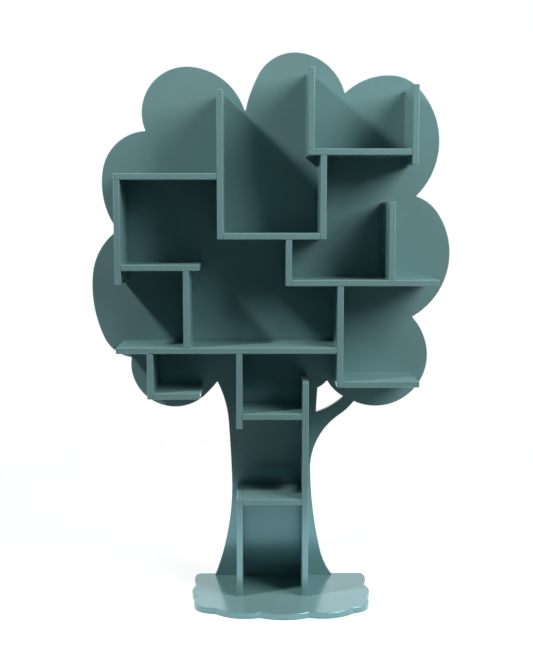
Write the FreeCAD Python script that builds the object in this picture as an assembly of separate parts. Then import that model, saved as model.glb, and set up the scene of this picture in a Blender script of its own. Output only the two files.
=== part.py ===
import FreeCAD, Part
import math
import os
from collections import namedtuple

# Tree shaped bookshelf: a cut-out back panel on a scalloped base, with a lattice of shelves and uprights
# on its face. Millimetres, +Z up, -Y to the front. The origin is on the floor, in the plane of the panel's
# face, at the middle of the base's width.

# Board stock, edges and fits
BOARD_THICKNESS = 18.0
PANEL_THICKNESS = 18.0
BASE_THICKNESS = 18.0
SHELF_DEPTH = 180.0          # panel's face to a board's front edge
EASED_EDGE = 1.5             # taken off the edges that stay open to the hand
CUTTER_RADIUS = 1.5          # smallest inside corner left in a cut outline
FIT_CLEARANCE = 0.1          # gap on each side of a board in its groove and of a tenon in its mortise

# Clear heights of the bays
LOWER_TRUNK_BAY_HEIGHT = 276.0
MIDDLE_TRUNK_BAY_HEIGHT = 238.5
UPPER_TRUNK_BAY_HEIGHT = 176.5
CENTRE_BAY_HEIGHT = 311.0
LOW_LEFT_BAY_HEIGHT = 221.5
HIGH_LEFT_BAY_HEIGHT = 241.0
HIGH_RIGHT_BAY_HEIGHT = 220.5
LOW_RIGHT_BAY_HEIGHT = 277.0
LEFT_HANGING_BAY_HEIGHT = 115.5
RIGHT_HANGING_BAY_HEIGHT = 115.5

# Clear widths of the bays, and where the two columns stand from the middle of the base
TRUNK_BAY_MIDDLE = -26.0
TRUNK_BAY_WIDTH = 175.0
CENTRE_BAY_LEFT = -166.5
CENTRE_BAY_WIDTH = 276.0
HANGING_UPRIGHT_INSET = 178.0
MIDDLE_LEFT_BAY_WIDTH = 177.5
MIDDLE_RIGHT_BAY_WIDTH = 277.0
LOWER_RIGHT_SETBACK = 131.0
LOWER_LEFT_SETBACK = 89.0
UPPER_RIGHT_OVERHANG = 35.0

# Lengths of the shelves with a free end or an upright at their far end
UPPER_LEFT_SHELF_LENGTH = 294.0
UPPER_RIGHT_SHELF_LENGTH = 294.5
MIDDLE_LEFT_SHELF_LENGTH = 225.0
MIDDLE_RIGHT_SHELF_LENGTH = 422.5
LOWER_LEFT_SHELF_LENGTH = 135.0
LOWER_RIGHT_SHELF_LENGTH = 222.0

# How far the uprights run past the shelves that they pass
UPPER_LEFT_UPRIGHT_RISE = 233.5
TOP_UPRIGHT_HEIGHT = 225.5
OUTER_RIGHT_UPRIGHT_RISE = 179.0
OUTER_RIGHT_UPRIGHT_DROP = 25.5
OUTER_LEFT_UPRIGHT_DROP = 39.0
MIDDLE_RIGHT_UPRIGHT_HEIGHT = 222.5
UPPER_TRUNK_UPRIGHT_DROP = 27.0
TRUNK_RIGHT_UPRIGHT_RISE = 93.0

# Grooves that house the boards' rear edges, and stub tenons that join board to board
GROOVE_DEPTH = 6.0
TENON_LENGTH = 6.0
TENON_THICKNESS = 8.0
TENON_SHOULDER = 25.0        # from the front edge, and from the panel, to the tenon

# Countersunk screws through the base
SCREW_DIAMETER = 4.5
SCREW_LENGTH = 50.0
SCREW_POINT_LENGTH = 5.0
SCREW_HEAD_DIAMETER = 9.0
SCREW_RECESS = 0.5           # head below the surface
SCREW_CLEARANCE = 0.1
FOOT_SCREWS = 3              # into the panel's foot

# Outline of the panel, clockwise from the trunk's left foot. Each stretch sets off from its first point at a
# heading, in degrees anticlockwise from the right, and flows in arcs through its points to the first point of
# the next stretch. Points are right and up from the corner of a board that each stretch goes round.
TRUNK_LEFT_EDGE = (69, [(-71, 0), (-17.5, 320.5), (-26.5, 490.5)])
LOWER_LEFT_LOBE = (-128, [(44, 22.5), (5, -20)])
MIDDLE_LEFT_LOBE = (172, [(24, -35.5), (-57, 24.5), (-89, 221.5)])
UPPER_LEFT_LOBE = (126, [(-12, -147.5), (-53, 35.5)])
TOP_LEFT_LOBE = (113, [(-218, -104), (-83.5, 83.5)])
TOP_LOBE = (78, [(-180, -109.5), (-140.5, -1), (-11, 62.5)])
UPPER_RIGHT_LOBE = (44, [(-196, -8), (-51, 44), (17, 14)])
MIDDLE_RIGHT_LOBE = (-17, [(84, 17), (147, -28)])
LOWER_RIGHT_LOBE = (-48, [(2.5, 170), (46.5, 84)])
BRANCH_EDGE = (-127, [(147.5, -89.5), (103.5, -131.5), (14, -306)])
TRUNK_FOOT = [(46, 81.5), (83.5, 0)]

# Window between trunk and branch: corners, and a point that the edge to the next corner bows through
WINDOW_CORNERS = [(64.5, -24.5), (115, -74.5), (31, -124), (35.5, -47.5)]
WINDOW_BOWS = [(84, -50.5), (73.5, -105.5), (32.7, -86), (48, -40.3)]

# Base plate: three scallops on each side and three along the front
BASE_WIDTH = 534.0
BASE_DEPTH = 339.0
BASE_BACK_WIDTH = 517.0      # rear edge, before its corners are rounded
BASE_CORNER_RADIUS = 18.0
BACK_SCALLOP_SPAN = 530.0
BACK_SCALLOP_SETBACK = 49.5
REAR_NOTCH_SPAN = 503.0      # across the base between facing notches
REAR_NOTCH_SETBACK = 97.5
SIDE_SCALLOP_SETBACK = 148.0
SIDE_NOTCH_SPAN = 496.0
SIDE_NOTCH_SETBACK = 197.5
CORNER_SCALLOP_SPAN = 501.0
CORNER_SCALLOP_SETBACK = 257.0
CORNER_NOTCH_SPAN = 397.0
CORNER_NOTCH_SETBACK = 290.0
FRONT_SCALLOP_SPAN = 270.0
FRONT_SCALLOP_SETBACK = 326.5
FRONT_NOTCH_SPAN = 139.0
FRONT_NOTCH_SETBACK = 321.5
FRONT_SHIFT = 7.0            # front scallops stand this far to the right of the base's middle

Vector = FreeCAD.Vector
Board = namedtuple("Board", "left right bottom top")


def shelf(left, right, bottom):
    return Board(left, right, bottom, bottom + BOARD_THICKNESS)


def upright(left, bottom, top):
    return Board(left, left + BOARD_THICKNESS, bottom, top)


def lay_out_boards():
    """Front view of every board, worked out bay by bay from the base up."""
    trunk_left = TRUNK_BAY_MIDDLE - TRUNK_BAY_WIDTH / 2 - BOARD_THICKNESS
    trunk_right = TRUNK_BAY_MIDDLE + TRUNK_BAY_WIDTH / 2
    trunk_shelf_left = trunk_left + BOARD_THICKNESS
    centre_left = CENTRE_BAY_LEFT - BOARD_THICKNESS
    centre_right = CENTRE_BAY_LEFT + CENTRE_BAY_WIDTH
    hanging_left = CENTRE_BAY_LEFT + HANGING_UPRIGHT_INSET
    hanging_right = hanging_left + BOARD_THICKNESS
    lower_right = hanging_right + LOWER_RIGHT_SETBACK
    outer_left = centre_left - UPPER_LEFT_SHELF_LENGTH
    middle_shelf_left = outer_left + BOARD_THICKNESS
    lower_left = outer_left + LOWER_LEFT_SETBACK
    lower_shelf_left = lower_left + BOARD_THICKNESS
    top_left = centre_right - UPPER_RIGHT_OVERHANG
    outer_right = top_left + UPPER_RIGHT_SHELF_LENGTH

    trunk_lower = shelf(trunk_shelf_left, trunk_right, BASE_THICKNESS + LOWER_TRUNK_BAY_HEIGHT)
    trunk_upper = shelf(trunk_shelf_left, trunk_right, trunk_lower.top + MIDDLE_TRUNK_BAY_HEIGHT)
    long_shelf = shelf(outer_left, lower_right, trunk_upper.top + UPPER_TRUNK_BAY_HEIGHT)
    centre = shelf(CENTRE_BAY_LEFT, centre_right, long_shelf.top + CENTRE_BAY_HEIGHT)
    middle_left = shelf(middle_shelf_left, middle_shelf_left + MIDDLE_LEFT_SHELF_LENGTH,
                        long_shelf.top + LOW_LEFT_BAY_HEIGHT)
    upper_left = shelf(outer_left, centre_left, middle_left.top + HIGH_LEFT_BAY_HEIGHT)
    upper_right = shelf(top_left, outer_right, centre.top + HIGH_RIGHT_BAY_HEIGHT)
    middle_right = shelf(hanging_right, hanging_right + MIDDLE_RIGHT_SHELF_LENGTH,
                         centre.bottom - RIGHT_HANGING_BAY_HEIGHT - BOARD_THICKNESS)
    lower_right_shelf_left = lower_right + BOARD_THICKNESS
    lower_right_shelf = shelf(lower_right_shelf_left, lower_right_shelf_left + LOWER_RIGHT_SHELF_LENGTH,
                              middle_right.bottom - LOW_RIGHT_BAY_HEIGHT - BOARD_THICKNESS)
    lower_left_shelf = shelf(lower_shelf_left, lower_shelf_left + LOWER_LEFT_SHELF_LENGTH,
                             long_shelf.bottom - LEFT_HANGING_BAY_HEIGHT - BOARD_THICKNESS)
    return {
        "shelf_trunk_lower": trunk_lower,
        "shelf_trunk_upper": trunk_upper,
        "shelf_long": long_shelf,
        "shelf_centre": centre,
        "shelf_upper_left": upper_left,
        "shelf_middle_left": middle_left,
        "shelf_lower_left": lower_left_shelf,
        "shelf_upper_right": upper_right,
        "shelf_middle_right": middle_right,
        "shelf_lower_right": lower_right_shelf,
        "upright_trunk_left": upright(trunk_left, BASE_THICKNESS, trunk_lower.top),
        "upright_trunk_right": upright(trunk_right, BASE_THICKNESS,
                                       trunk_upper.top + TRUNK_RIGHT_UPRIGHT_RISE),
        "upright_trunk_upper": upright(trunk_left, trunk_upper.bottom - UPPER_TRUNK_UPRIGHT_DROP,
                                       long_shelf.bottom),
        "upright_upper_left": upright(centre_left, centre.bottom, upper_left.top + UPPER_LEFT_UPRIGHT_RISE),
        "upright_outer_left": upright(outer_left, middle_left.bottom - OUTER_LEFT_UPRIGHT_DROP,
                                      upper_left.bottom),
        "upright_middle_left": upright(middle_shelf_left + MIDDLE_LEFT_BAY_WIDTH, long_shelf.top,
                                       middle_left.bottom),
        "upright_lower_left": upright(lower_left, lower_left_shelf.bottom, long_shelf.bottom),
        "upright_centre": upright(centre_right, centre.bottom, upper_right.bottom),
        "upright_top": upright(top_left, upper_right.top, upper_right.top + TOP_UPRIGHT_HEIGHT),
        "upright_outer_right": upright(outer_right, upper_right.bottom - OUTER_RIGHT_UPRIGHT_DROP,
                                       upper_right.top + OUTER_RIGHT_UPRIGHT_RISE),
        "upright_hanging": upright(hanging_left, middle_right.bottom, centre.bottom),
        "upright_middle_right": upright(hanging_right + MIDDLE_RIGHT_BAY_WIDTH, middle_right.top,
                                        middle_right.top + MIDDLE_RIGHT_UPRIGHT_HEIGHT),
        "upright_lower_right": upright(lower_right, lower_right_shelf.bottom, middle_right.bottom),
    }


# Board that stops, the end that stops, and the board that it stops against
JOINTS = [
    ("shelf_trunk_lower", "left", "upright_trunk_left"),
    ("shelf_trunk_lower", "right", "upright_trunk_right"),
    ("shelf_trunk_upper", "left", "upright_trunk_upper"),
    ("shelf_trunk_upper", "right", "upright_trunk_right"),
    ("upright_trunk_upper", "top", "shelf_long"),
    ("shelf_long", "right", "upright_lower_right"),
    ("upright_lower_left", "top", "shelf_long"),
    ("shelf_lower_left", "left", "upright_lower_left"),
    ("upright_middle_left", "bottom", "shelf_long"),
    ("upright_middle_left", "top", "shelf_middle_left"),
    ("shelf_middle_left", "left", "upright_outer_left"),
    ("upright_outer_left", "top", "shelf_upper_left"),
    ("shelf_upper_left", "right", "upright_upper_left"),
    ("shelf_centre", "left", "upright_upper_left"),
    ("shelf_centre", "right", "upright_centre"),
    ("upright_centre", "top", "shelf_upper_right"),
    ("upright_top", "bottom", "shelf_upper_right"),
    ("shelf_upper_right", "right", "upright_outer_right"),
    ("upright_hanging", "top", "shelf_centre"),
    ("shelf_middle_right", "left", "upright_hanging"),
    ("upright_middle_right", "bottom", "shelf_middle_right"),
    ("upright_lower_right", "top", "shelf_middle_right"),
    ("shelf_lower_right", "left", "upright_lower_right"),
]

# Uprights that stand on the base
STANDING = ("upright_trunk_left", "upright_trunk_right")

SAME_PLACE = 1e-6            # points this near are one
BOARD_FRONT = -SHELF_DEPTH
BOARD_BACK = GROOVE_DEPTH
BASE_BACK = PANEL_THICKNESS


def block(left, right, front, back, bottom, top):
    return Part.makeBox(right - left, back - front, top - bottom, Vector(left, front, bottom))


def is_shelf(name):
    return name.startswith("shelf")


def free_ends(name):
    """Ends of a board that neither stop against another board nor stand on the base."""
    ends = {"left", "right"} if is_shelf(name) else {"bottom", "top"}
    held = {end for stopped, end, _ in JOINTS if stopped == name}
    if name in STANDING:
        held.add("bottom")
    return ends - held


def lies_at(edge, coordinate, value):
    """True where both ends of an edge have one coordinate at a value."""
    return all(abs(getattr(v.Point, coordinate) - value) < SAME_PLACE for v in edge.Vertexes)


def eased_board(name, board):
    """Board with its front edges and the edges round its free ends taken off."""
    solid = block(board.left, board.right, BOARD_FRONT, BOARD_BACK, board.bottom, board.top)
    axis, ends = ("x", ("left", "right")) if is_shelf(name) else ("z", ("bottom", "top"))
    edges = []
    for edge in solid.Edges:
        at_ends = [end for end in ends if lies_at(edge, axis, getattr(board, end))]
        open_edge = at_ends[0] in free_ends(name) if at_ends else lies_at(edge, "y", BOARD_FRONT)
        if open_edge and not lies_at(edge, "y", BOARD_BACK):
            edges.append(edge)
    return solid.makeChamfer(EASED_EDGE, edges)


def tenon(joint, boards, clearance):
    """Stub tenon of a joint, or its mortise when grown by a clearance."""
    name, end, _ = joint
    board = boards[name]
    across = TENON_THICKNESS / 2 + clearance
    front = BOARD_FRONT + TENON_SHOULDER - clearance
    back = clearance - TENON_SHOULDER
    face = getattr(board, end)
    tip = face + (TENON_LENGTH + clearance) * (1 if end in ("right", "top") else -1)
    low, high = sorted((face, tip))
    if end in ("left", "right"):
        middle = (board.bottom + board.top) / 2
        return block(low, high, front, back, middle - across, middle + across)
    middle = (board.left + board.right) / 2
    return block(middle - across, middle + across, front, back, low, high)


def turned(profile, place):
    """Solid turned from (radius, height) points about the upright line through a place."""
    points = [Vector(radius, 0, height) for radius, height in profile]
    solid = Part.Face(Part.makePolygon(points + points[:1])).revolve(Vector(0, 0, 0), Vector(0, 0, 1), 360)
    return solid.translated(place)


def screw(place):
    """Screw that points up, with its head just inside the surface at its place."""
    head = SCREW_HEAD_DIAMETER / 2
    shank = SCREW_DIAMETER / 2
    neck = SCREW_RECESS + head - shank
    tip = SCREW_RECESS + SCREW_LENGTH
    point = tip - SCREW_POINT_LENGTH
    return turned([(0, SCREW_RECESS), (head, SCREW_RECESS), (shank, neck), (shank, point), (0, tip)], place)


def screw_hole(place):
    """Countersunk hole that a screw fills, open at the surface."""
    shank = SCREW_DIAMETER / 2 + SCREW_CLEARANCE
    mouth = SCREW_HEAD_DIAMETER / 2 + SCREW_CLEARANCE + SCREW_RECESS
    end = SCREW_RECESS + SCREW_LENGTH + SCREW_CLEARANCE
    return turned([(0, 0), (mouth, 0), (shank, mouth - shank), (shank, end), (0, end)], place)


def foot_screw_places(stretches):
    """Points under the base below the middle of the panel's foot."""
    left_foot = stretches[0][1][0].x
    right_foot = stretches[-1][1][-1].x
    step = (right_foot - left_foot) / FOOT_SCREWS
    return [Vector(left_foot + step * (i + 0.5), PANEL_THICKNESS / 2, 0) for i in range(FOOT_SCREWS)]


def upright_screw_place(board):
    """Point under the base below the middle of an upright."""
    return Vector((board.left + board.right) / 2, BOARD_FRONT / 2, 0)


def smooth_arcs(points, heading):
    """Arcs from point to point, each flowing on from the last, that set off at a heading in degrees."""
    angle = math.radians(heading)
    tangent = Vector(math.cos(angle), 0, math.sin(angle))
    edges = []
    for start, end in zip(points, points[1:]):
        chord = end - start
        along = chord / chord.Length
        cosine = tangent.dot(along)
        bow = (tangent - along * cosine) * (chord.Length / 2 / (1 + cosine))
        edges.append(Part.Arc(start, (start + end) / 2 + bow, end).toShape())
        tangent = along * (2 * cosine) - tangent
    return edges


def from_corner(corner, offsets):
    """Points on the panel's face, right and up from a corner."""
    return [Vector(corner[0] + right, 0, corner[1] + up) for right, up in offsets]


def panel_stretches(boards):
    """Stretches of the panel's outline as (heading, points), each ending where the next begins."""
    foot_left = boards["upright_trunk_left"]
    branch = boards["upright_trunk_right"]
    lower_left = boards["shelf_lower_left"]
    long_shelf = boards["shelf_long"]
    outer_left = boards["upright_outer_left"]
    upper_left = boards["upright_upper_left"]
    top = boards["upright_top"]
    outer_right = boards["upright_outer_right"]
    middle_right = boards["upright_middle_right"]
    lower_right = boards["shelf_lower_right"]
    corners = [
        ((foot_left.left, BASE_THICKNESS), TRUNK_LEFT_EDGE),
        ((lower_left.right, lower_left.bottom), LOWER_LEFT_LOBE),
        ((long_shelf.left, long_shelf.bottom), MIDDLE_LEFT_LOBE),
        ((outer_left.left, outer_left.top), UPPER_LEFT_LOBE),
        ((upper_left.left, upper_left.top), TOP_LEFT_LOBE),
        ((top.left, top.top), TOP_LOBE),
        ((outer_right.right, outer_right.top), UPPER_RIGHT_LOBE),
        ((middle_right.right, middle_right.top), MIDDLE_RIGHT_LOBE),
        ((lower_right.right, lower_right.top), LOWER_RIGHT_LOBE),
        ((branch.right, branch.top), BRANCH_EDGE),
    ]
    stretches = [(heading, from_corner(corner, offsets)) for corner, (heading, offsets) in corners]
    for (_, points), (_, following) in zip(stretches, stretches[1:]):
        points.append(following[0])
    stretches[-1][1].extend(from_corner((branch.right, branch.bottom), TRUNK_FOOT))
    return stretches


def window_arcs(boards):
    """Corners of the window between trunk and branch, each with its bow and the next corner."""
    branch = boards["upright_trunk_right"]
    corner = (branch.right, branch.top)
    corners = from_corner(corner, WINDOW_CORNERS)
    return list(zip(corners, from_corner(corner, WINDOW_BOWS), corners[1:] + corners[:1]))


def round_corners(plate, corners, axis, radius):
    """Plate with the edges that run along an axis at the given corners rounded to a radius."""
    across = [c for c in ("x", "y", "z") if c != axis]
    edges = [edge for edge in plate.Edges for corner in corners
             if all(lies_at(edge, c, getattr(corner, c)) for c in across)]
    return plate.makeFillet(radius, edges)


def ease_rim(plate, axis, level, kept=None):
    """Plate with the edges of its face at a level of an axis taken off, apart from a kept line."""
    edges = [edge for edge in plate.Edges
             if lies_at(edge, axis, level) and not (kept and lies_at(edge, *kept))]
    return plate.makeChamfer(EASED_EDGE, edges)


def make_panel(boards, stretches):
    """Tree outline with its window, grooves for the boards and holes for the screws in its foot."""
    edges = [arc for heading, points in stretches for arc in smooth_arcs(points, heading)]
    foot = Part.LineSegment(stretches[-1][1][-1], stretches[0][1][0]).toShape()
    window = [Part.Arc(*points).toShape() for points in window_arcs(boards)]
    outline = Part.Face(Part.Wire(edges + [foot])).cut(Part.Face(Part.Wire(window)))
    plate = outline.extrude(Vector(0, PANEL_THICKNESS, 0)).Solids[0]
    corners = [points[0] for _, points in stretches[1:]] + [points[0] for points in window_arcs(boards)]
    plate = round_corners(plate, corners, "y", CUTTER_RADIUS)
    plate = ease_rim(plate, "y", 0, ("z", BASE_THICKNESS))
    for name, board in boards.items():
        groove = Board(board.left - FIT_CLEARANCE, board.right + FIT_CLEARANCE,
                       board.bottom - FIT_CLEARANCE, board.top + FIT_CLEARANCE)
        plate = plate.cut(eased_board(name, groove))
    for place in foot_screw_places(stretches):
        plate = plate.cut(screw_hole(place))
    return plate.removeSplitter()


def make_board(name, boards):
    """Eased board with its own tenons, its neighbours' mortises and the hole of its screw."""
    solid = eased_board(name, boards[name])
    for joint in JOINTS:
        if joint[0] == name:
            solid = solid.fuse(tenon(joint, boards, 0))
        if joint[2] == name:
            solid = solid.cut(tenon(joint, boards, FIT_CLEARANCE))
    if name in STANDING:
        solid = solid.cut(screw_hole(upright_screw_place(boards[name])))
    return solid.removeSplitter()


def base_outline():
    """Corners and scallop crests of the base, from the rear left corner round the front to the rear right."""
    corners = [(BASE_BACK_WIDTH, 0, 0), (REAR_NOTCH_SPAN, REAR_NOTCH_SETBACK, 0),
               (SIDE_NOTCH_SPAN, SIDE_NOTCH_SETBACK, 0),
               (CORNER_NOTCH_SPAN, CORNER_NOTCH_SETBACK, FRONT_SHIFT),
               (FRONT_NOTCH_SPAN, FRONT_NOTCH_SETBACK, FRONT_SHIFT)]
    crests = [(BACK_SCALLOP_SPAN, BACK_SCALLOP_SETBACK, 0), (BASE_WIDTH, SIDE_SCALLOP_SETBACK, 0),
              (CORNER_SCALLOP_SPAN, CORNER_SCALLOP_SETBACK, 0),
              (FRONT_SCALLOP_SPAN, FRONT_SCALLOP_SETBACK, FRONT_SHIFT)]

    def side(rows, sign):
        return [Vector(shift + sign * span / 2, BASE_BACK - setback, 0) for span, setback, shift in rows]

    middle_crest = Vector(FRONT_SHIFT, BASE_BACK - BASE_DEPTH, 0)
    return (side(corners, -1) + side(corners, 1)[::-1],
            side(crests, -1) + [middle_crest] + side(crests, 1)[::-1])


def make_base(screw_places):
    """Scalloped base plate with countersunk holes in its underside."""
    corners, crests = base_outline()
    edges = [Part.Arc(*points).toShape() for points in zip(corners, crests, corners[1:])]
    edges.append(Part.LineSegment(corners[-1], corners[0]).toShape())
    plate = Part.Face(Part.Wire(edges)).extrude(Vector(0, 0, BASE_THICKNESS))
    plate = round_corners(plate, corners[1:-1], "z", CUTTER_RADIUS)
    plate = round_corners(plate, [corners[0], corners[-1]], "z", BASE_CORNER_RADIUS)
    plate = ease_rim(plate, "z", BASE_THICKNESS)
    for place in screw_places:
        plate = plate.cut(screw_hole(place))
    return plate


def main():
    os.makedirs("parts", exist_ok=True)
    boards = lay_out_boards()
    stretches = panel_stretches(boards)
    screw_places = foot_screw_places(stretches) + [upright_screw_place(boards[name]) for name in STANDING]
    parts = {name: make_board(name, boards) for name in boards}
    parts["back_panel"] = make_panel(boards, stretches)
    parts["base_plate"] = make_base(screw_places)
    parts["base_screws"] = Part.makeCompound([screw(place) for place in screw_places])
    for name, shape in parts.items():
        shape.exportStep(f"parts/{name}.step")


main()
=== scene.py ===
import bmesh
import bpy
import math
from mathutils import Matrix, Vector


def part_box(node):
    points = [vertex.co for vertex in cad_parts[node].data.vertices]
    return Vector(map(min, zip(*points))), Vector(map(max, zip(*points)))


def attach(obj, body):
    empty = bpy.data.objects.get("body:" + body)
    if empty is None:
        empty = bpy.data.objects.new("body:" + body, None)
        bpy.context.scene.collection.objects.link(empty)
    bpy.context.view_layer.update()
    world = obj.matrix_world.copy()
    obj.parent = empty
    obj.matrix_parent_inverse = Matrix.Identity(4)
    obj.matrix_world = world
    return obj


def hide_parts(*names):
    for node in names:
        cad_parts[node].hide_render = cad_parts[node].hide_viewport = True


# Tree shaped bookshelf: finishes, edges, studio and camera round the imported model.
# Metres, +Z up, -Y to the front.

# Middle of a noise's range, which holds nearly all of its values
NOISE_LOW = 0.3
NOISE_HIGH = 0.7

# Lacquer, in linear colour
LACQUER_COLOUR = (0.150, 0.268, 0.272)
LACQUER_LIGHT = 1.04          # sprayed coat at its thinnest, as a share of the colour
LACQUER_DEEP = 0.96           # and at its thickest
CLOUD_SIZE = 0.22             # width of the slow drifts in the sprayed coat
CLOUD_DETAIL = 3.0
PEEL_SIZE = 0.004             # width of the fine ripple in the coat
PEEL_DETAIL = 1.0
PEEL_HEIGHT = 0.00002
LACQUER_ROUGHNESS = 0.20
ROUGHNESS_DRIFT = 0.03
LACQUER_IOR = 2.0             # a deep gloss
GLOSS_TINT = (0.45, 0.90, 1.0)

# Steel of the screws
STEEL_COLOUR = (0.55, 0.54, 0.50)
STEEL_LIGHT = 1.2             # palest and darkest mottle, as shares of the colour
STEEL_DEEP = 0.8
STEEL_ROUGHNESS = 0.35
STEEL_DRIFT = 0.1             # of the roughness, up and down
MOTTLE_SIZE = 0.002
MOTTLE_DETAIL = 4.0

# Form of the screws
SCREW_SIDES = 24
HEAD_RADIUS = 0.0045
SHANK_RADIUS = 0.00225
THREAD_DEPTH = 0.0006
THREAD_PITCH = 0.0022
THREAD_START = 0.014          # from the face of the head
THREAD_CREST = 0.5            # share of the pitch that the ridge takes
RINGS_PER_TURN = 8
POINT_LENGTH = 0.005
RECESS_REACH = 0.0025         # arm of the cross recess, from the middle
RECESS_WIDTH = 0.0010
RECESS_DEPTH = 0.0018
RECESS_TAPER = 0.6            # floor of the recess as a share of its mouth
PLACE_DIGITS = 4              # decimals that tell one screw's tip from another's

# Soft rounding over the eased edges
WELD_DISTANCE = 0.00002
EDGE_ROUND = 0.0006
EDGE_SEGMENTS = 2
EDGE_ANGLE = math.radians(25)

# Camera, with lens and sensor in millimetres
LENS = 57.105
SENSOR = 36.0
CAMERA_PLACE = (-0.072, -3.196, 1.1786)
CAMERA_PITCH = 0.12242        # below level
CAMERA_YAW = 0.00945          # to the right

# Studio
FLOOR_COLOUR = (0.55, 0.56, 0.56)
FLOOR_ROUGHNESS = 0.9
FLOOR_LIFT = 0.62             # light added to the floor where the camera sees it
FLOOR_MIRRORED = 1.10         # and where glossy surfaces mirror it
FLOOR_MIDDLE = (0.0, 0.45, 0.0)
FLOOR_SIDES = 96
FLOOR_REACH = 1.65            # from the middle of the floor to where it has faded into the backdrop
FLOOR_FADE = 1.35             # and to where it starts to fade
BACKDROP_EDGE = 0.15          # soft edge of the backdrop, which fills the half of the room behind
BACKDROP_MIRRORED = 1.2       # brightness of the backdrop in glossy surfaces
AMBIENT = 0.045
WHITE = (1.0, 1.0, 1.0)
AIM = Vector((0.0, -0.1, 0.9))
SOFT_LIGHTS = {               # azimuth and elevation seen from the object, distance, width, power
    "key": (-66.0, 44.0, 4.2, 0.4, 152.0),
    "soft_box": (60.0, 34.0, 3.4, 2.0, 158.0),
}

SIDE_ANGLES = [math.tau * side / SCREW_SIDES for side in range(SCREW_SIDES)]


def new_material(name):
    """Node material with a principled shader, ready for links."""
    material = bpy.data.materials.new(name)
    material.use_nodes = True
    nodes = material.node_tree.nodes
    return material, nodes, material.node_tree.links, nodes["Principled BSDF"]


def noise(nodes, links, size, detail):
    """Noise over the object's own coordinates, with features of about the given size."""
    place = nodes.new("ShaderNodeTexCoord")
    texture = nodes.new("ShaderNodeTexNoise")
    texture.inputs["Scale"].default_value = 1 / size
    texture.inputs["Detail"].default_value = detail
    links.new(place.outputs["Object"], texture.inputs["Vector"])
    return texture.outputs["Fac"]


def spread(nodes, links, value, middle, drift):
    """The middle of a noise's range stretched to a drift below and above a value."""
    stretch = nodes.new("ShaderNodeMapRange")
    stretch.inputs["From Min"].default_value = NOISE_LOW
    stretch.inputs["From Max"].default_value = NOISE_HIGH
    stretch.inputs["To Min"].default_value = middle - drift
    stretch.inputs["To Max"].default_value = middle + drift
    links.new(value, stretch.inputs["Value"])
    return stretch.outputs["Result"]


def shade(colour, share):
    """A colour times a share, with full alpha."""
    return tuple(c * share for c in colour) + (1.0,)


def lacquer_material():
    """Sprayed petrol green lacquer: slow drifts of depth and gloss, and a fine orange peel."""
    material, nodes, links, shader = new_material("petrol_lacquer")
    clouds = noise(nodes, links, CLOUD_SIZE, CLOUD_DETAIL)
    depth = nodes.new("ShaderNodeValToRGB")
    deep, light = depth.color_ramp.elements
    deep.position = NOISE_LOW
    light.position = NOISE_HIGH
    deep.color = shade(LACQUER_COLOUR, LACQUER_DEEP)
    light.color = shade(LACQUER_COLOUR, LACQUER_LIGHT)
    links.new(clouds, depth.inputs["Fac"])
    links.new(depth.outputs["Color"], shader.inputs["Base Color"])
    gloss = spread(nodes, links, clouds, LACQUER_ROUGHNESS, ROUGHNESS_DRIFT)
    links.new(gloss, shader.inputs["Roughness"])
    shader.inputs["IOR"].default_value = LACQUER_IOR
    shader.inputs["Specular Tint"].default_value = GLOSS_TINT + (1.0,)
    peel = nodes.new("ShaderNodeBump")
    peel.inputs["Distance"].default_value = PEEL_HEIGHT
    links.new(noise(nodes, links, PEEL_SIZE, PEEL_DETAIL), peel.inputs["Height"])
    links.new(peel.outputs["Normal"], shader.inputs["Normal"])
    return material


def steel_material():
    """Zinc plated steel with a faint mottle."""
    material, nodes, links, shader = new_material("zinc_steel")
    shader.inputs["Metallic"].default_value = 1.0
    mottle = noise(nodes, links, MOTTLE_SIZE, MOTTLE_DETAIL)
    colour = nodes.new("ShaderNodeValToRGB")
    deep, light = colour.color_ramp.elements
    deep.color = shade(STEEL_COLOUR, STEEL_DEEP)
    light.color = shade(STEEL_COLOUR, STEEL_LIGHT)
    links.new(mottle, colour.inputs["Fac"])
    links.new(colour.outputs["Color"], shader.inputs["Base Color"])
    gloss = spread(nodes, links, mottle, STEEL_ROUGHNESS, STEEL_DRIFT)
    links.new(gloss, shader.inputs["Roughness"])
    return material


def finish_node(piece, material):
    """Gives a CAD node its material and soft edges."""
    piece.data.materials.clear()
    piece.data.materials.append(material)
    weld = piece.modifiers.new("weld", "WELD")
    weld.merge_threshold = WELD_DISTANCE
    bevel = piece.modifiers.new("soft_edges", "BEVEL")
    bevel.width = EDGE_ROUND
    bevel.segments = EDGE_SEGMENTS
    bevel.limit_method = "ANGLE"
    bevel.angle_limit = EDGE_ANGLE
    bevel.harden_normals = True


def screw_places():
    """Middle of the head's face of each screw, found under the tips of the CAD screws."""
    low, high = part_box("base_screws")
    tips = {
        (round(vertex.co.x, PLACE_DIGITS), round(vertex.co.y, PLACE_DIGITS))
        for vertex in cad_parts["base_screws"].data.vertices
        if high.z - vertex.co.z < WELD_DISTANCE
    }
    return [Vector((x, y, low.z)) for x, y in sorted(tips)]


def thread_radius(height, angle, length):
    """Distance from the axis to the thread's surface, which runs out into the point."""
    taper = min(1.0, (length - height) / POINT_LENGTH)
    turn = (height / THREAD_PITCH - angle / math.tau) % 1.0
    ridge = max(0.0, 1.0 - abs(2 * turn - 1) / THREAD_CREST)
    return taper * (SHANK_RADIUS - THREAD_DEPTH * (1 - ridge))


def ring(mesh, place, height, radii):
    """Loop of vertices round a screw's axis, each at its own distance from it."""
    points = [Vector((math.cos(a) * r, math.sin(a) * r, height)) for a, r in zip(SIDE_ANGLES, radii)]
    return [mesh.verts.new(place + point) for point in points]


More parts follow.
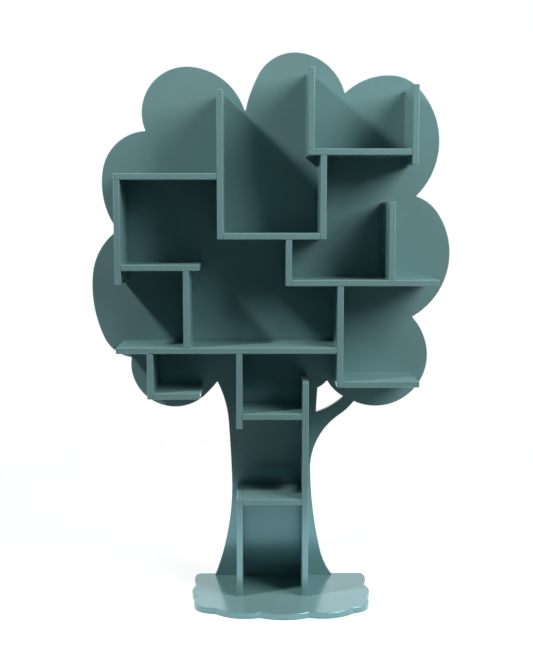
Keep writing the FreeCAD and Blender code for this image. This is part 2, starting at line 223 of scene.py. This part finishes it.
def cross(mesh, place, height, share):
    """Loop of the twelve corners of the cross recess."""
    reach = RECESS_REACH * share
    half = RECESS_WIDTH / 2 * share
    loop = []
    for quarter in range(4):
        turn = Matrix.Rotation(quarter * math.pi / 2, 3, "Z")
        for x, y in ((reach, half), (half, half), (half, reach)):
            loop.append(mesh.verts.new(place + turn @ Vector((x, y, height))))
    return loop


def band(mesh, lower, upper):
    """Faces between two loops of as many vertices."""
    for i in range(len(lower)):
        mesh.faces.new((lower[i - 1], lower[i], upper[i], upper[i - 1]))


def loop_edges(mesh, loop):
    """Edges from each vertex of a loop to the next."""
    return [mesh.edges.get((loop[i - 1], loop[i])) for i in range(len(loop))]


def add_shaft(mesh, place, length):
    """Side of a screw from the head's rim to the tip. Returns the rim."""
    core = SHANK_RADIUS - THREAD_DEPTH
    rim = ring(mesh, place, 0.0, [HEAD_RADIUS] * SCREW_SIDES)
    loops = [rim, ring(mesh, place, HEAD_RADIUS - core, [core] * SCREW_SIDES)]
    step = THREAD_PITCH / RINGS_PER_TURN
    for count in range(math.ceil((length - THREAD_START) / step)):
        height = THREAD_START + count * step
        radii = [thread_radius(height, angle, length) for angle in SIDE_ANGLES]
        loops.append(ring(mesh, place, height, radii))
    for lower, upper in zip(loops, loops[1:]):
        band(mesh, lower, upper)
    tip = mesh.verts.new(place + Vector((0.0, 0.0, length)))
    last = loops[-1]
    for i in range(SCREW_SIDES):
        mesh.faces.new((last[i - 1], last[i], tip))
    return rim


def add_screw(mesh, place, length):
    """Countersunk screw that points up, with a cross recess, a plain neck and a coarse thread."""
    rim = add_shaft(mesh, place, length)
    mouth = cross(mesh, place, 0.0, 1.0)
    pit = cross(mesh, place, RECESS_DEPTH, RECESS_TAPER)
    band(mesh, pit, mouth)
    mesh.faces.new(pit)
    borders = loop_edges(mesh, rim) + loop_edges(mesh, mouth)
    bmesh.ops.triangle_fill(mesh, use_beauty=True, edges=borders)


def make_screws(material):
    """Threaded screws in the place of the plain CAD screws."""
    low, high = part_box("base_screws")
    mesh = bmesh.new()
    for place in screw_places():
        add_screw(mesh, place, high.z - low.z)
    bmesh.ops.recalc_face_normals(mesh, faces=mesh.faces)
    data = bpy.data.meshes.new("threaded_screws")
    mesh.to_mesh(data)
    mesh.free()
    data.materials.append(material)
    screws = bpy.data.objects.new("threaded_screws", data)
    bpy.context.scene.collection.objects.link(screws)
    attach(screws, "root")
    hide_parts("base_screws")


def combine(nodes, links, operation, first, second):
    """Math node on two linked values."""
    node = nodes.new("ShaderNodeMath")
    node.operation = operation
    links.new(first, node.inputs[0])
    links.new(second, node.inputs[1])
    return node.outputs["Value"]


def scaled(nodes, links, value, factor):
    """A linked value times a fixed factor."""
    node = nodes.new("ShaderNodeMath")
    node.operation = "MULTIPLY"
    node.inputs[1].default_value = factor
    links.new(value, node.inputs[0])
    return node.outputs["Value"]


def floor_fade(nodes, links):
    """Nothing over the middle of the floor, rising to one at its rim."""
    place = nodes.new("ShaderNodeTexCoord")
    length = nodes.new("ShaderNodeVectorMath")
    length.operation = "LENGTH"
    links.new(place.outputs["Object"], length.inputs[0])
    fade = nodes.new("ShaderNodeMapRange")
    fade.interpolation_type = "SMOOTHSTEP"
    fade.inputs["From Min"].default_value = FLOOR_FADE
    fade.inputs["From Max"].default_value = FLOOR_REACH
    links.new(length.outputs["Value"], fade.inputs["Value"])
    return fade.outputs["Result"]


def floor_glow(nodes, links):
    """Light that the floor adds for the camera and for glossy surfaces."""
    path = nodes.new("ShaderNodeLightPath")
    seen = scaled(nodes, links, path.outputs["Is Camera Ray"], FLOOR_LIFT)
    mirrored = scaled(nodes, links, path.outputs["Is Glossy Ray"], FLOOR_MIRRORED)
    glow = nodes.new("ShaderNodeEmission")
    links.new(combine(nodes, links, "ADD", seen, mirrored), glow.inputs["Strength"])
    return glow.outputs["Emission"]


def floor_material():
    """Pale matt floor that keeps the shadow and fades into the white backdrop."""
    material, nodes, links, shader = new_material("pale_floor")
    shader.inputs["Base Color"].default_value = FLOOR_COLOUR + (1.0,)
    shader.inputs["Roughness"].default_value = FLOOR_ROUGHNESS
    shader.inputs["Specular IOR Level"].default_value = 0.0
    lifted = nodes.new("ShaderNodeAddShader")
    links.new(shader.outputs["BSDF"], lifted.inputs[0])
    links.new(floor_glow(nodes, links), lifted.inputs[1])
    clear = nodes.new("ShaderNodeBsdfTransparent")
    mix = nodes.new("ShaderNodeMixShader")
    links.new(floor_fade(nodes, links), mix.inputs["Fac"])
    links.new(lifted.outputs["Shader"], mix.inputs[1])
    links.new(clear.outputs["BSDF"], mix.inputs[2])
    links.new(mix.outputs["Shader"], nodes["Material Output"].inputs["Surface"])
    return material


def make_floor():
    """Round floor under the object."""
    bpy.ops.mesh.primitive_circle_add(
        vertices=FLOOR_SIDES, radius=FLOOR_REACH, fill_type="NGON", location=FLOOR_MIDDLE)
    floor = bpy.context.object
    floor.name = "floor"
    floor.data.materials.append(floor_material())


def backdrop_behind(nodes, links):
    """Brightness of the backdrop in reflections: full behind the object, none before it."""
    direction = nodes.new("ShaderNodeTexCoord")
    axes = nodes.new("ShaderNodeSeparateXYZ")
    links.new(direction.outputs["Generated"], axes.inputs["Vector"])
    behind = nodes.new("ShaderNodeMapRange")
    behind.inputs["From Min"].default_value = -BACKDROP_EDGE
    behind.inputs["From Max"].default_value = BACKDROP_EDGE
    behind.inputs["To Max"].default_value = BACKDROP_MIRRORED
    links.new(axes.outputs["Y"], behind.inputs["Value"])
    return behind.outputs["Result"]


def make_world():
    """White backdrop for the camera and, from behind the object, for reflections.

    All other rays meet a low even light.
    """
    world = bpy.data.worlds.new("studio")
    bpy.context.scene.world = world
    world.use_nodes = True
    nodes = world.node_tree.nodes
    links = world.node_tree.links
    path = nodes.new("ShaderNodeLightPath").outputs
    mirrored = combine(nodes, links, "MULTIPLY", path["Is Glossy Ray"], backdrop_behind(nodes, links))
    seen = combine(nodes, links, "MAXIMUM", path["Is Camera Ray"], path["Is Transmission Ray"])
    strength = nodes.new("ShaderNodeMath")
    strength.operation = "MAXIMUM"
    strength.inputs[1].default_value = AMBIENT
    links.new(combine(nodes, links, "MAXIMUM", seen, mirrored), strength.inputs[0])
    background = nodes["Background"]
    background.inputs["Color"].default_value = WHITE + (1.0,)
    links.new(strength.outputs["Value"], background.inputs["Strength"])


def make_light(name, azimuth, elevation, distance, width, power):
    """Square soft light at a bearing from the object, aimed at its middle."""
    data = bpy.data.lights.new(name, "AREA")
    data.shape = "SQUARE"
    data.size = width
    data.energy = power
    light = bpy.data.objects.new(name, data)
    bpy.context.scene.collection.objects.link(light)
    around = math.radians(azimuth)
    up = math.radians(elevation)
    bearing = Vector((math.sin(around) * math.cos(up), -math.cos(around) * math.cos(up), math.sin(up)))
    light.location = AIM + bearing * distance
    light.rotation_euler = (-bearing).to_track_quat("-Z", "Y").to_euler()
    return light


def make_camera():
    """Camera before the object, a little above its middle and looking slightly down."""
    data = bpy.data.cameras.new("camera")
    data.lens = LENS
    data.sensor_width = SENSOR
    camera = bpy.data.objects.new("camera", data)
    bpy.context.scene.collection.objects.link(camera)
    camera.location = CAMERA_PLACE
    camera.rotation_euler = (math.pi / 2 - CAMERA_PITCH, 0.0, -CAMERA_YAW)
    bpy.context.scene.camera = camera


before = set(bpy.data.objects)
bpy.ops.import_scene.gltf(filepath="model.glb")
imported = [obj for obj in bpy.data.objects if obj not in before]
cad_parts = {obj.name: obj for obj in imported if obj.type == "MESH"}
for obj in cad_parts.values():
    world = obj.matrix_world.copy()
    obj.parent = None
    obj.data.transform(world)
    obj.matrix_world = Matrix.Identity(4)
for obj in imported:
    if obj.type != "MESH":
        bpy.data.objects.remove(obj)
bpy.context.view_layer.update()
lacquer = lacquer_material()
steel = steel_material()
for name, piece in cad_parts.items():
    finish_node(piece, steel if name == "base_screws" else lacquer)
make_screws(steel)
make_floor()
make_world()
lights = {name: make_light(name, *light) for name, light in SOFT_LIGHTS.items()}
lights["key"].visible_glossy = False    # too small a lamp for soft reflections
make_camera()
bpy.context.scene.view_settings.view_transform = "Standard"
